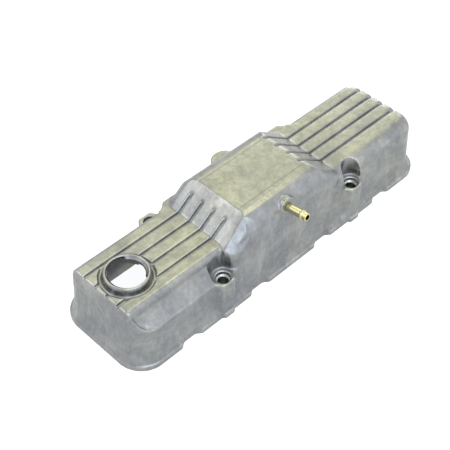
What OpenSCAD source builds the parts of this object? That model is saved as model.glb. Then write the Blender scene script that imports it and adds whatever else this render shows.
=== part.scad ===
// Valve cover of a four-cylinder engine, cast in aluminium, with a raised breather chamber
// in the middle, an oil filler neck at one end and a brass breather nipple in one side.
// X runs along the engine, Y across it and Z up. Zero is the centre of the four cover
// bolts on the gasket face. The filler is at the -X end and the nipple on the -Y side.

/* [Flange] */
// Length of the gasket flange
flange_length = 405; // [400:1:412]
// Width of the gasket flange
flange_width = 116; // [114:0.5:120]
// Corner radius of the flange in plan
flange_corner = 28; // [26:0.5:30]
// Thickness of the flange
flange_t = 6; // [5:0.25:8]
// Reach of the flange lobes under the bolts on the nipple side
lobe_reach = 2.5; // [1.5:0.25:3]
// Half width of a flange lobe at its outer edge
lobe_half = 5.5; // [5:0.25:7]
// Ledge of flat flange left outside the foot of the wall
flange_ledge = 1; // [0.5:0.1:1.5]

/* [Casting] */
// Thickness of the cast walls and roof
wall = 4; // [3.5:0.1:4.5]
// Height of the two low ends above the gasket face
low_top = 69.5; // [67:0.5:72]
// Width of the low ends across the top, over the steep upper walls
low_width = 76; // [75:0.5:78]
// Height of the shoulder under the steep upper walls
shoulder_z = 46; // [44:0.5:48]
// How far the far corners stand inside the foot of the far end wall
far_tuck = 2.5; // [2:0.25:3]
// Corner radius of the walls in plan
wall_corner = 25; // [23:0.5:26]
// Lean of the outer walls for draft, in degrees
draft = 3; // [2:0.25:4]
// Height of the sloping foot between the flange and the wall
foot_h = 8; // [6:0.5:10]
// Reach of the sloping foot out from the wall
foot_reach = 3; // [2:0.25:3.5]
// Lean of the near end wall, in degrees
near_lean = 3.25; // [3.1:0.05:3.5]
// Lean of the far end wall, in degrees
far_lean = 6.5; // [6:0.25:7]
// Edge radius of the top edges over the steep walls
edge_r = 6; // [5:0.25:8]
// Edge radius where the near end turns over
near_edge_r = 3; // [2:0.25:4]
// Edge radius where the far end turns over
far_edge_r = 11; // [9:0.5:12]
// Radius of the round top corner at the far end on the nipple side
far_corner_edge_r = 13; // [11:0.5:15]
// Plan radius of the upper wall's corner at the far end on the plain side
far_corner_r = 12; // [11:0.5:14]
// Radius between the shoulder and the steep upper wall
shoulder_r = 7; // [5:0.5:8]
// Distance along X in which the shoulder's floor leaves the end wall
shoulder_sweep = 14; // [12:1:16]
// Lean of the shoulder's sweep towards the end, along X
sweep_lean = 10; // [8:1:12]
// Radius where the shoulder sweeps up to the end wall
sweep_r = 14; // [12:1:15]
// Radius of the broad top edge beside the nipple at the far end
broad_edge_r = 15; // [12:0.5:17]

/* [Breather chamber] */
// Height of the chamber roof above the gasket face
hump_top = 91.5; // [89:0.5:94]
// Foot of the near ramp, along X
hump_near_foot = -78.5; // [-80:0.5:-77]
// Top of the near ramp, along X
hump_near_top = -50; // [-52:0.5:-48]
// Top of the far ramp, along X
hump_far_top = 40.5; // [39:0.5:42]
// Foot of the far ramp, along X
hump_far_foot = 72; // [71:0.5:74]
// Edge of the flat roof on the nipple side
hump_flat_front = -28.5; // [-29:0.5:-27.5]
// Edge of the flat roof on the other side
hump_flat_back = 22.5; // [22:0.5:23.5]
// Radius of the long shoulder on the nipple side
hump_front_r = 22; // [21:0.25:22.5]
// Radius of the long shoulder on the plain side
hump_back_r = 20; // [19:0.5:21]
// How far the plain side spreads from its shoulder down to the wide body
hump_spread = 8.5; // [8:0.25:9]
// Corner radius of the chamber in plan
hump_corner = 12; // [11:0.5:13]
// Reach of the chamber's corners past the feet of its ramps
hump_end = 3; // [2:0.5:4]
// Radius at the foot of the near ramp
near_foot_r = 8; // [6:1:10]
// Radius at the foot of the far ramp
far_foot_r = 6; // [5:1:8]
// Edge radius along both sides of the two ramps
ramp_edge_r = 12; // [10:0.5:13]

/* [Grooves] */
// Distance between neighbouring grooves
groove_pitch = 15; // [14.5:0.25:15.5]
// Number of grooves
groove_count = 4; // [2:2:4]
// Width of one groove
groove_w = 3; // [2.5:0.1:3.5]
// Depth of one groove
groove_depth = 3.5; // [3:0.1:3.8]
// Distance below the roof, down the near ramp, at which the grooves end
groove_run_out = 10; // [8:0.5:12]
// Metal kept under the grooves and beside them, inside the cover
groove_wall = 2.5; // [2:0.25:3]

/* [Bolts] */
// Bolt spacing along the cover
bolt_dx = 180; // [178:0.5:182]
// Bolt spacing across the cover
bolt_dy = 99; // [98:0.5:100]
// Diameter of the bolt holes
bolt_hole_d = 10.4; // [9:0.1:10.6]
// Diameter of the counterbore for the bolt seal
bolt_seat_d = 14.6; // [14:0.1:15]
// Depth of the counterbore
bolt_seat_depth = 4.5; // [3.5:0.1:5]
// Height of the four bolt pads above the gasket face
pad_z = 46; // [44:0.5:47]
// Half width of a pad at its outer edge
pad_outer_half = 7; // [6:0.5:8]
// Half width of a pad where it leaves the wall
pad_inner_half = 14.5; // [13.5:0.5:15]
// Distance of the pad's outer edge from the bolt on the nipple side
pad_reach_front = 7.7; // [7.5:0.1:8.5]
// Distance of the pad's outer edge from the bolt on the other side
pad_reach_back = 10.5; // [9.5:0.1:11]
// Radius of the pad's plan corners
pad_corner_r = 2; // [1:0.5:3]
// Radius of the spanner pocket round each bolt
pocket_r = 12; // [11.5:0.1:12.5]

/* [Plug notches] */
// Distance between neighbouring cylinders
bore_pitch = 90; // [88:0.5:91]
// Middle of the row of plug notches along X
notch_mid = -1.5; // [-3:0.5:0]
// Depth of a plug notch into the flange edge
notch_depth = 4.5; // [3.5:0.25:4.5]
// Width of a plug notch at the flange edge
notch_w = 25; // [22:0.5:28]
// Radius of the inner corners of a notch
notch_r = 12; // [10:0.5:13]
// Radius of the outer corners of a notch
notch_blend = 5; // [3:0.5:6]
// Height to which a notch runs up the wall
notch_rise = 24; // [18:0.5:28]

/* [Oil filler] */
// Position of the filler along X
filler_x = -164.3; // [-165:0.1:-163]
// Position of the filler along Y
filler_y = -2.5; // [-3:0.1:-2]
// Bore of the filler neck
filler_bore_d = 38.2; // [37:0.1:39]
// Wall of the neck at its rim
filler_rim = 2.4; // [2:0.1:2.8]
// Widening of the neck from its rim to its foot
filler_flare = 1.2; // [0.8:0.1:1.5]
// Chamfer of the rim, inside and out
rim_chamfer = 0.8; // [0.5:0.1:1]
// Height of the rim above the gasket face
filler_top = 75; // [74:0.5:77]
// Radius of the flat left round the neck
filler_flat_r = 26.3; // [26:0.1:27]
// Width of the two cap ledges inside the neck
ledge_w = 2.2; // [1.8:0.1:2.6]
// Thickness of the cap ledges
ledge_t = 2.5; // [2:0.1:3]
// Depth of the cap ledges below the rim
ledge_drop = 2.5; // [2:0.1:3]
// Angle that each cap ledge spans, in degrees
ledge_span = 110; // [90:5:130]

/* [Nipple] */
// Position of the nipple along X
nipple_x = -4.9; // [-6:0.1:-4]
// Height of the nipple where it leaves its boss
nipple_z = 78; // [77:0.25:79]
// Upward tilt of the nipple, in degrees
nipple_tilt = 8; // [6:0.5:10]
// Outer diameter of the nipple tube
nipple_d = 8.2; // [7.8:0.1:9]
// Bore of the nipple tube
nipple_bore = 5.4; // [5:0.1:6]
// Diameter of the hose bead
nipple_bead_d = 10.2; // [9.8:0.1:11]
// Distance of the bead's middle from the tip
nipple_bead_back = 6; // [5:0.5:7]
// Length of the bead's flat crown, twice its chamfers at the tip
nipple_bead_flat = 1.2; // [0.8:0.1:1.4]
// Length of the nipple outside its boss
nipple_length = 24; // [22:0.5:26]
// Length of the nipple inside the casting
nipple_grip = 14; // [12:0.5:16]
// Radius of the round boss that holds the nipple
nipple_boss_r = 10; // [9:0.25:11]
// Distance of the boss face from the middle plane
nipple_boss_y = 50; // [49.5:0.25:51]

/* [Side boss] */
// Position along X of the half-round boss on the plain side
side_boss_x = 3; // [0:0.5:6]
// Radius of the half-round boss
side_boss_r = 15; // [13:0.5:16]
// Reach of the half-round boss from the middle plane
side_boss_y = 56; // [55:0.5:57]
// Height of the top of the half-round boss
side_boss_z = 72; // [70:0.5:74]

/* [Baffle] */
// Thickness of the baffle sheet
baffle_t = 1.2; // [1:0.1:1.5]
// Length of the baffle along X
baffle_length = 104; // [98:1:108]
// Width of the baffle across the cover
baffle_width = 68; // [64:1:70]
// Height of the top of the baffle above the gasket face
baffle_z = 62; // [60:0.5:63]
// Depth of the turned-down edges
baffle_lip = 8; // [6:0.5:10]
// Distance between baffle screws along X
baffle_screw_dx = 72; // [68:1:74]
// Distance between baffle screws across the cover
baffle_screw_dy = 40; // [38:1:42]
// Diameter of a screw shank
screw_d = 5; // [4:0.5:5]
// Diameter of a screw head
screw_head_d = 9.5; // [9:0.25:10]
// Height of a screw head
screw_head_h = 3.2; // [2.8:0.1:3.6]
// Length of a screw under its head
screw_length = 12; // [10:0.5:14]
// Radius of the cast posts that take the screws
post_r = 5.5; // [5:0.25:6]

/* [Fits] */
// Radial gap round a shank or tube in its hole
fit_gap = 0.02; // [0.01:0.01:0.05]
// Radial gap round a screw in the sheet
sheet_gap = 0.4; // [0.3:0.05:0.6]

/* [Hidden] */
$fn = 96;
eps = 0.01;
// Small step that keeps two nearly equal faces apart
seam = 0.1;
far = 300;

half_l = flange_length / 2;
half_w = flange_width / 2;
// The wall starts inside the flange by its ledge and its sloping foot
wall_inset = flange_ledge + foot_reach;
wall_x = half_l - wall_inset;
wall_y = half_w - wall_inset;
near_ramp = atan((hump_top - low_top) / (hump_near_top - hump_near_foot));
far_ramp = atan((hump_top - low_top) / (hump_far_foot - hump_far_top));
hump_front = hump_flat_front - hump_front_r;
hump_back = hump_flat_back + hump_back_r;
hump_mid = (hump_near_top + hump_far_top) / 2;
bolt_x = bolt_dx / 2;
bolt_y = bolt_dy / 2;
groove_floor = low_top - groove_depth;
// The near shoulder runs past the pocket to the chamber's own corner
shoulder_end = hump_near_foot - hump_end + hump_corner;
filler_r = filler_bore_d / 2;
post_top = hump_top - wall / 2;

// Points of the arc that rounds corner b, which has its radius as third value
function corner_arc(a, b, c) =
    let (p = [b[0], b[1]],
         u = ([a[0], a[1]] - p) / norm([a[0], a[1]] - p),
         v = ([c[0], c[1]] - p) / norm([c[0], c[1]] - p),
         half = acos(u * v) / 2,
         centre = p + (u + v) / norm(u + v) * b[2] / sin(half),
         start = p + u * b[2] / tan(half) - centre,
         turn = (2 * half - 180) * sign(cross(u, v)),
         steps = ceil(abs(turn) / 12))
    b[2] <= 0 ? [p] :
    [for (i = [0:steps]) let (w = turn * i / steps)
        centre + [start[0] * cos(w) - start[1] * sin(w), start[0] * sin(w) + start[1] * cos(w)]];

// Closed outline through corners [x, y, radius], each rounded by its own radius
function rounded(pts) =
    let (n = len(pts))
    [for (i = [0:n - 1]) each corner_arc(pts[(i + n - 1) % n], pts[i], pts[(i + 1) % n])];

// Carries a drawing of Y and Z along X
module along_x(x0, x1) {
    translate([x0, 0, 0]) rotate([90, 0, 90]) linear_extrude(x1 - x0) children();
}

// Carries a drawing of X and Z along Y
module along_y(y0, y1) {
    translate([0, y1, 0]) rotate([90, 0, 0]) linear_extrude(y1 - y0) children();
}

// Block with round corners whose four walls lean inwards by the given amount at the top
module drafted_block(x0, x1, y0, y1, r, h, lean) {
    for (x = [x0 + r, x1 - r], y = [y0 + r, y1 - r])
        translate([x, y, 0]) cylinder(h = h, r1 = r, r2 = r - lean);
    along_x(x0 + r, x1 - r) polygon([[y0, 0], [y1, 0], [y1 - lean, h], [y0 + lean, h]]);
    along_y(y0 + r, y1 - r) polygon([[x0, 0], [x1, 0], [x1 - lean, h], [x0 + lean, h]]);
}

// Side view of the whole body, drawn smaller by the inset
module side_view(inset) {
    top = low_top - inset;
    roof = hump_top - inset;
    near_shift = inset * tan(near_ramp / 2);
    far_shift = inset * tan(far_ramp / 2);
    far_x = wall_x - inset;
    near_r = max(near_edge_r - inset, 1);
    polygon(rounded([
        [-wall_x + inset, -1, 0],
        [-wall_x + inset + top * tan(near_lean), top, near_r],
        [hump_near_foot + near_shift, top, near_foot_r],
        [hump_near_top + near_shift, roof, near_r],
        [hump_far_top - far_shift, roof, far_edge_r - inset],
        [hump_far_foot - far_shift, top, far_foot_r],
        [far_x - top * tan(far_lean), top, far_edge_r - inset],
        [far_x, -1, 0]]));
}

// Region outside the steep upper wall and above the shoulder, for the -Y side
module scoop_section(inset) {
    half = low_width / 2 - inset;
    floor_z = shoulder_z - inset;
    top = low_top - inset;
    lean = (top - floor_z) * tan(draft);
    edge = max(edge_r - inset, 1);
    polygon(rounded([
        [-far, floor_z, 0],
        [-half - lean, floor_z, shoulder_r],
        [-half, top, edge],
        [-half + 2 * edge, top, 0],
        [-half + 2 * edge, far, 0],
        [-far, far, 0]]));
}

// Side view of one scoop: a level floor that sweeps up to the end wall
module scoop_profile(to_x, inset) {
    floor_z = shoulder_z - inset;
    foot_x = -wall_x + shoulder_sweep - inset;
    head_x = foot_x - sweep_lean;
    polygon(rounded([
        [to_x, floor_z, 0],
        [foot_x, floor_z, sweep_r],
        [head_x, low_top - inset, 0],
        [head_x, far, 0],
        [to_x, far, 0]]));
}

// Hollow beside the steep upper wall of one low end as far as to_x, drawn at -X and -Y
module side_scoop(to_x, inset) {
    intersection() {
        along_x(-far, to_x) scoop_section(inset);
        along_y(-far, 0) scoop_profile(to_x, inset);
    }
}

// What the broad top edge of the wide body loses on the nipple side, from the near shoulder on
module broad_edge(inset) {
    y = wall_y - inset - (low_top - inset) * tan(draft);
    r = broad_edge_r - inset;
    z = low_top - inset;
    difference() {
        along_x(shoulder_end, far)
            polygon([[-y + r, z - r], [-far, z - r], [-far, far], [-y + r, far]]);
        translate([shoulder_end - 1, -y + r, z - r]) rotate([0, 90, 0]) cylinder(h = far, r = r);
    }
}

// What a round top corner at the +X end loses: plan radius r about x and y, rounded by the edge
module end_corner(x, y, r, edge, from, inset) {
    z = low_top - inset;
    e = edge - inset;
    translate([x, y, 0]) rotate([0, 0, from]) rotate_extrude(angle = 90) difference() {
        translate([r - inset - e, z - e]) square([far, far]);
        translate([r - inset - e, z - e]) circle(e);
    }
}

module end_corners(inset) {
    end_corner(wall_x - far_tuck - wall_corner, -wall_y + wall_corner,
               wall_corner - (low_top - broad_edge_r) * tan(draft), far_corner_edge_r, -90, inset);
    end_corner(wall_x - low_top * tan(far_lean) - far_corner_r, low_width / 2 - far_corner_r,
               far_corner_r, far_edge_r, 0, inset);
}

// What the wide body loses beside the chamber's sloping plain side
module back_slope(inset) {
    y = hump_back - inset + 3 * seam;
    z = hump_top - hump_back_r;
    along_x(-bolt_x, bolt_x) polygon([
        [y, z], [y + hump_spread, shoulder_z], [far, shoulder_z], [far, z]]);
}

// Wide body with the steep upper walls at both ends
module low_body(inset) {
    r = wall_corner - inset;
    x1 = wall_x - far_tuck - inset;
    difference() {
        drafted_block(-wall_x + inset, x1, -wall_y + inset, wall_y - inset,
                      r, low_top - inset, (low_top - inset) * tan(draft));
        back_slope(inset);
        side_scoop(shoulder_end, inset);
        mirror([0, 1, 0]) side_scoop(-bolt_x, inset);
        rotate([0, 0, 180]) side_scoop(-bolt_x, inset);
        broad_edge(inset);
        end_corners(inset);
    }
}

// Everything under one ramp, with both of the ramp's long edges rounded
module under_ramp(foot_x, slope, inset) {
    r = ramp_edge_r - inset;
    y0 = hump_front + inset;
    y1 = hump_back - inset;
    translate([foot_x, 0, low_top - inset + seam]) rotate([0, -slope, 0]) along_x(-far, far)
        polygon(rounded([
            [y0 - 2, -far, 0], [y0 - seam, -r, 0], [y0 - seam, 0, r],
            [y1 + seam, 0, r], [y1 + seam, -r, 0], [y1 + far / 3, -far, 0]]));
}

// Breather chamber over the middle of the cover
module hump_body(inset) {
    z0 = shoulder_z;
    front_r = hump_front_r - inset;
    back_r = hump_back_r - inset;
    front_z = hump_top - hump_front_r;
    back_z = hump_top - hump_back_r;
    y0 = hump_front + inset;
    y1 = hump_back - inset;
    x0 = hump_near_foot - hump_end + inset;
    x1 = hump_far_foot + hump_end - inset;
    r = hump_corner - inset;
    intersection() {
        along_x(x0, x1) polygon(rounded([
            [y0 - (front_z - z0) * tan(draft), z0, 0],
            [y0, front_z - seam, 0],
            [y0, hump_top - inset, front_r - seam],
            [y1, hump_top - inset, back_r - seam],
            [y1, back_z - seam, 0],
            [y1 + hump_spread, z0, 0]]));
        union() {
            translate([x0 + r, -far / 2, z0]) cube([x1 - x0 - 2 * r, far, far]);
            translate([x0, y0 + r, z0]) cube([x1 - x0, y1 - y0 - 2 * r, far]);
            for (x = [x0 + r, x1 - r], y = [y0 + r, y1 - r])
                translate([x, y, z0]) cylinder(h = far, r = r);
        }
        under_ramp(hump_near_foot + inset * tan(near_ramp / 2), near_ramp, inset);
        under_ramp(hump_far_foot - inset * tan(far_ramp / 2), -far_ramp, inset);
    }
}

// Whole outer form, or the hollow inside it where inset is the wall
module body_form(inset) {
    intersection() {
        along_y(-half_w, half_w) side_view(inset);
        union() {
            low_body(inset);
            hump_body(inset);
        }
    }
}

// Flange plate with its four round corners and a lobe under each bolt column
module flange_plate() {
    r = flange_corner;
    lobe_y = half_w + lobe_reach;
    linear_extrude(flange_t) for (x = [-bolt_x, bolt_x])
        polygon([[x - lobe_half - lobe_reach, -bolt_y], [x - lobe_half - lobe_reach, -half_w],
                 [x - lobe_half, -lobe_y], [x + lobe_half, -lobe_y],
                 [x + lobe_half + lobe_reach, -half_w], [x + lobe_half + lobe_reach, -bolt_y]]);
    linear_extrude(flange_t) {
        square([flange_length - 2 * r, flange_width], center = true);
        square([flange_length, flange_width - 2 * r], center = true);
        for (x = [-half_l + r, half_l - r], y = [-half_w + r, half_w - r])
            translate([x, y]) circle(r);
    }
}

// Sloping foot between the flange and the wall
module wall_foot() {
    x = half_l - flange_ledge;
    y = half_w - flange_ledge;
    translate([0, 0, flange_t])
        drafted_block(-x, x, -y, y, wall_corner + foot_reach, foot_h, foot_reach + foot_h * tan(draft));
}

// Column and pad that carry one cover bolt, drawn at the bolt on the side given by dir
module bolt_ear(x, dir, reach) {
    y = dir * bolt_y;
    outer = y + dir * reach;
    inner = dir * (bolt_y - pocket_r);
    root = dir * bolt_y;
    linear_extrude(pad_z) polygon(rounded([
        [x - pad_inner_half, inner, 0],
        [x - pad_inner_half, root, pad_corner_r],
        [x - pad_outer_half, outer, pad_corner_r],
        [x + pad_outer_half, outer, pad_corner_r],
        [x + pad_inner_half, root, pad_corner_r],
        [x + pad_inner_half, inner, 0]]));
}

module bolt_ears() {
    for (x = [-bolt_x, bolt_x]) {
        bolt_ear(x, -1, pad_reach_front);
        bolt_ear(x, 1, pad_reach_back);
    }
}

// Places children at the four bolts
module at_bolts() {
    for (x = [-bolt_x, bolt_x], y = [-bolt_y, bolt_y])
        translate([x, y, 0]) children();
}

// Side view of one groove's floor, down from the roof to the end of the cover
module groove_profile() {
    near_shift = groove_depth * tan(near_ramp / 2);
    far_shift = groove_depth * tan(far_ramp / 2);
    near_x = hump_near_top - groove_run_out * cos(near_ramp);
    near_z = hump_top - groove_run_out * sin(near_ramp);
    fade = 2 * groove_depth;
    floor_near = hump_near_foot + near_shift;
    floor_far = hump_far_foot - far_shift;
    end_z = hump_top + 1;
    polygon([
        [-far, groove_floor], [floor_near, groove_floor],
        [near_x - fade * cos(near_ramp) + near_shift, near_z - fade * sin(near_ramp) - groove_depth],
        [near_x, near_z + 1], [near_x, end_z], [-far, end_z]]);
    polygon([
        [far, groove_floor], [floor_far, groove_floor],
        [hump_far_top - far_shift + groove_depth, hump_top - 1.5 * groove_depth],
        [hump_far_top - groove_depth, hump_top - groove_depth / 2],
        [hump_far_top - groove_depth - 1, end_z], [far, end_z]]);
}

// The grooves, or the same shapes grown by the metal that is kept round them
module grooves(grow) {
    first = -groove_pitch * (groove_count - 1) / 2;
    half = groove_w / 2 + grow;
    for (i = [0:groove_count - 1])
        translate([0, 0, -grow]) along_y(first + i * groove_pitch - half, first + i * groove_pitch + half)
            groove_profile();
}

// Neck of the oil filler, standing on its round flat
module filler_neck() {
    rim_r = filler_r + filler_rim;
    translate([filler_x, filler_y, 0]) rotate_extrude() polygon([
        [0, groove_floor - wall / 2], [rim_r, groove_floor - wall / 2],
        [rim_r + 2 * filler_flare, groove_floor], [rim_r + filler_flare, groove_floor + filler_flare],
        [rim_r, filler_top - filler_flare], [rim_r - rim_chamfer, filler_top], [0, filler_top]]);
}

// Round flat cut through the lands, round the foot of the neck
module filler_flat() {
    translate([filler_x, filler_y, groove_floor]) cylinder(h = filler_top, r = filler_flat_r);
}

// Bore of the oil filler with two ledges left in it for the cap
module filler_bore() {
    ledge_top = filler_top - ledge_drop;
    translate([filler_x, filler_y, 0]) {
        difference() {
            translate([0, 0, shoulder_z]) cylinder(h = filler_top, r = filler_r);
            for (turn = [0, 180]) rotate([0, 0, turn - ledge_span / 2])
                rotate_extrude(angle = ledge_span)
                    translate([filler_r - ledge_w, ledge_top - ledge_t]) square([ledge_w + 1, ledge_t]);
        }
        translate([0, 0, filler_top - rim_chamfer])
            cylinder(h = rim_chamfer + eps, r1 = filler_r, r2 = filler_r + rim_chamfer);
    }
}

// Puts children on the nipple's axis, with their Z pointing out of the boss
module at_nipple() {
    translate([nipple_x, -nipple_boss_y, nipple_z]) rotate([90 - nipple_tilt, 0, 0]) children();
}

// Half-round boss on the plain side of the chamber
module side_boss() {
    r = side_boss_r;
    translate([side_boss_x, side_boss_y - r, shoulder_z - wall])
        cylinder(h = side_boss_z - shoulder_z + wall, r = r);
}

// Cast post for one baffle screw, from the baffle up into the roof
module screw_places() {
    for (x = [-baffle_screw_dx / 2, baffle_screw_dx / 2], y = [-baffle_screw_dy / 2, baffle_screw_dy / 2])
        translate([hump_mid + x, y + (hump_flat_front + hump_flat_back) / 2, 0]) children();
}

// What stays solid inside the hollow: bolt columns, pocket walls, screw posts, the nipple's seat
// and the metal under the grooves
module inner_bosses() {
    grooves(groove_wall);
    at_bolts() cylinder(h = pad_z, r = bolt_hole_d / 2 + wall);
    at_bolts() translate([0, 0, pad_z - wall]) cylinder(h = low_top, r = pocket_r + wall);
    screw_places() translate([0, 0, baffle_z]) cylinder(h = post_top - baffle_z, r = post_r);
    at_nipple() translate([0, 0, -nipple_grip]) cylinder(h = nipple_grip, r = nipple_d / 2 + wall / 2);
}

module hollow() {
    difference() {
        translate([0, 0, -eps]) body_form(wall);
        inner_bosses();
    }
}

// Notches in the flange and the foot of the wall that clear the plug tubes
module plug_notches() {
    half = notch_w / 2;
    side = notch_depth;
    inner_r = notch_r / 2;
    for (i = [-1.5:1:1.5])
        translate([notch_mid + i * bore_pitch, -half_w, -1]) linear_extrude(notch_rise + 1)
            polygon(rounded([
                [-half - 2 * notch_blend, -2 * notch_depth, 0], [-half - 2 * notch_blend, -eps, 0],
                [-half, -eps, notch_blend], [-half + side, notch_depth, inner_r],
                [half - side, notch_depth, inner_r], [half, -eps, notch_blend],
                [half + 2 * notch_blend, -eps, 0], [half + 2 * notch_blend, -2 * notch_depth, 0]]));
}

module cover_casting() {
    color("darkseagreen") difference() {
        union() {
            difference() {
                body_form(0);
                grooves(0);
                filler_flat();
            }
            flange_plate();
            wall_foot();
            bolt_ears();
            side_boss();
            filler_neck();
            at_nipple() translate([0, 0, -nipple_boss_r]) cylinder(h = nipple_boss_r, r = nipple_boss_r);
        }
        hollow();
        filler_bore();
        at_bolts() translate([0, 0, pad_z]) cylinder(h = low_top, r = pocket_r);
        at_bolts() translate([0, 0, pad_z - bolt_seat_depth])
            cylinder(h = bolt_seat_depth + 1, d = bolt_seat_d);
        at_bolts() translate([0, 0, -1]) cylinder(h = pad_z, d = bolt_hole_d);
        plug_notches();
        at_nipple() translate([0, 0, -nipple_length])
            cylinder(h = nipple_length + nipple_d, r = nipple_d / 2 + fit_gap);
        screw_places() translate([0, 0, baffle_z - 1])
            cylinder(h = screw_length + 1, r = screw_d / 2 + fit_gap);
    }
}

// Brass tube with a bead for the hose, pressed into its boss
module breather_nipple() {
    r = nipple_d / 2;
    bead_r = nipple_bead_d / 2;
    bead_z = nipple_length - nipple_bead_back;
    flat = nipple_bead_flat / 2;
    foot = flat + bead_r - r;
    color("goldenrod") at_nipple() rotate_extrude() polygon([
        [nipple_bore / 2, -nipple_grip], [r, -nipple_grip], [r, bead_z - foot],
        [bead_r, bead_z - flat], [bead_r, bead_z + flat], [r, bead_z + foot],
        [r, nipple_length - flat], [r - flat, nipple_length], [nipple_bore / 2, nipple_length]]);
}

// Folded sheet that closes the chamber from below, with its edges turned down
module baffle_plate() {
    x = hump_mid - baffle_length / 2;
    y = (hump_flat_front + hump_flat_back) / 2 - baffle_width / 2;
    color("lightsteelblue") difference() {
        translate([x, y, baffle_z - baffle_lip]) cube([baffle_length, baffle_width, baffle_lip]);
        translate([x + baffle_t, y + baffle_t, baffle_z - baffle_lip - 1])
            cube([baffle_length - 2 * baffle_t, baffle_width - 2 * baffle_t, baffle_lip - baffle_t + 1]);
        screw_places() translate([0, 0, baffle_z - baffle_lip])
            cylinder(h = 2 * baffle_lip, r = screw_d / 2 + sheet_gap);
    }
}

// Pan-head screws that hold the baffle up against its posts
module baffle_screws() {
    color("silver") screw_places() {
        translate([0, 0, baffle_z - baffle_t - screw_head_h]) cylinder(h = screw_head_h, d = screw_head_d);
        translate([0, 0, baffle_z - baffle_t - eps]) cylinder(h = screw_length - 1 + eps, d = screw_d);
    }
}

cover_casting();
breather_nipple();
baffle_plate();
baffle_screws();
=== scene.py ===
"""Engine valve cover in bare cast aluminium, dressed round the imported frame.

The casting is a skin laid over the frame's own node: an even net of points is drawn over it,
inner corners are filled and outer corners are eased as metal does in a mould, a few shapes that
the node lacks are added, and the net is thinned where it is flat. The nipple is turned from a
profile. The baffle and its screws are the frame's own, with their finish.
All lengths are in metres, in the frame's own axes, and MM is one millimetre.
"""

import math

import bmesh
import bpy
import numpy as np
from mathutils import Matrix, Vector


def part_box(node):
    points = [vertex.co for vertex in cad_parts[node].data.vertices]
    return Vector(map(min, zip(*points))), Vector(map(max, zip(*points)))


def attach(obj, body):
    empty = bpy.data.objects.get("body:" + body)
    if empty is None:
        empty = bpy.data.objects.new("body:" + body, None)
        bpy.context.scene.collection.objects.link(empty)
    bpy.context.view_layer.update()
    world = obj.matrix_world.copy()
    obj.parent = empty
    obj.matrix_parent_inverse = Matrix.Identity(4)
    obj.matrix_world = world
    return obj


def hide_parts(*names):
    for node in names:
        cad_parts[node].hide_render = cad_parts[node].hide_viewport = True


bl_info = {
    "name": "Cast valve cover",
    "version": (1, 0, 0),
    "blender": (4, 5, 0),
    "location": "3D View > Sidebar > Valve cover",
    "description": "Skins the cast cover and adds its nipple, baffle, screws and studio",
    "category": "Object",
}

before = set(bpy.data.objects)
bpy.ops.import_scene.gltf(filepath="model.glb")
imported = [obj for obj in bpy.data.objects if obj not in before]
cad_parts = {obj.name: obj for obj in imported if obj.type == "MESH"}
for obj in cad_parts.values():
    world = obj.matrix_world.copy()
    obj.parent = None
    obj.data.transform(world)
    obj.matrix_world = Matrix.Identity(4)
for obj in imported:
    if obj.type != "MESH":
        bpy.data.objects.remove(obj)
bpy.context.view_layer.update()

MM = 0.001


# Sizes and colours that a user would change


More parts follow.
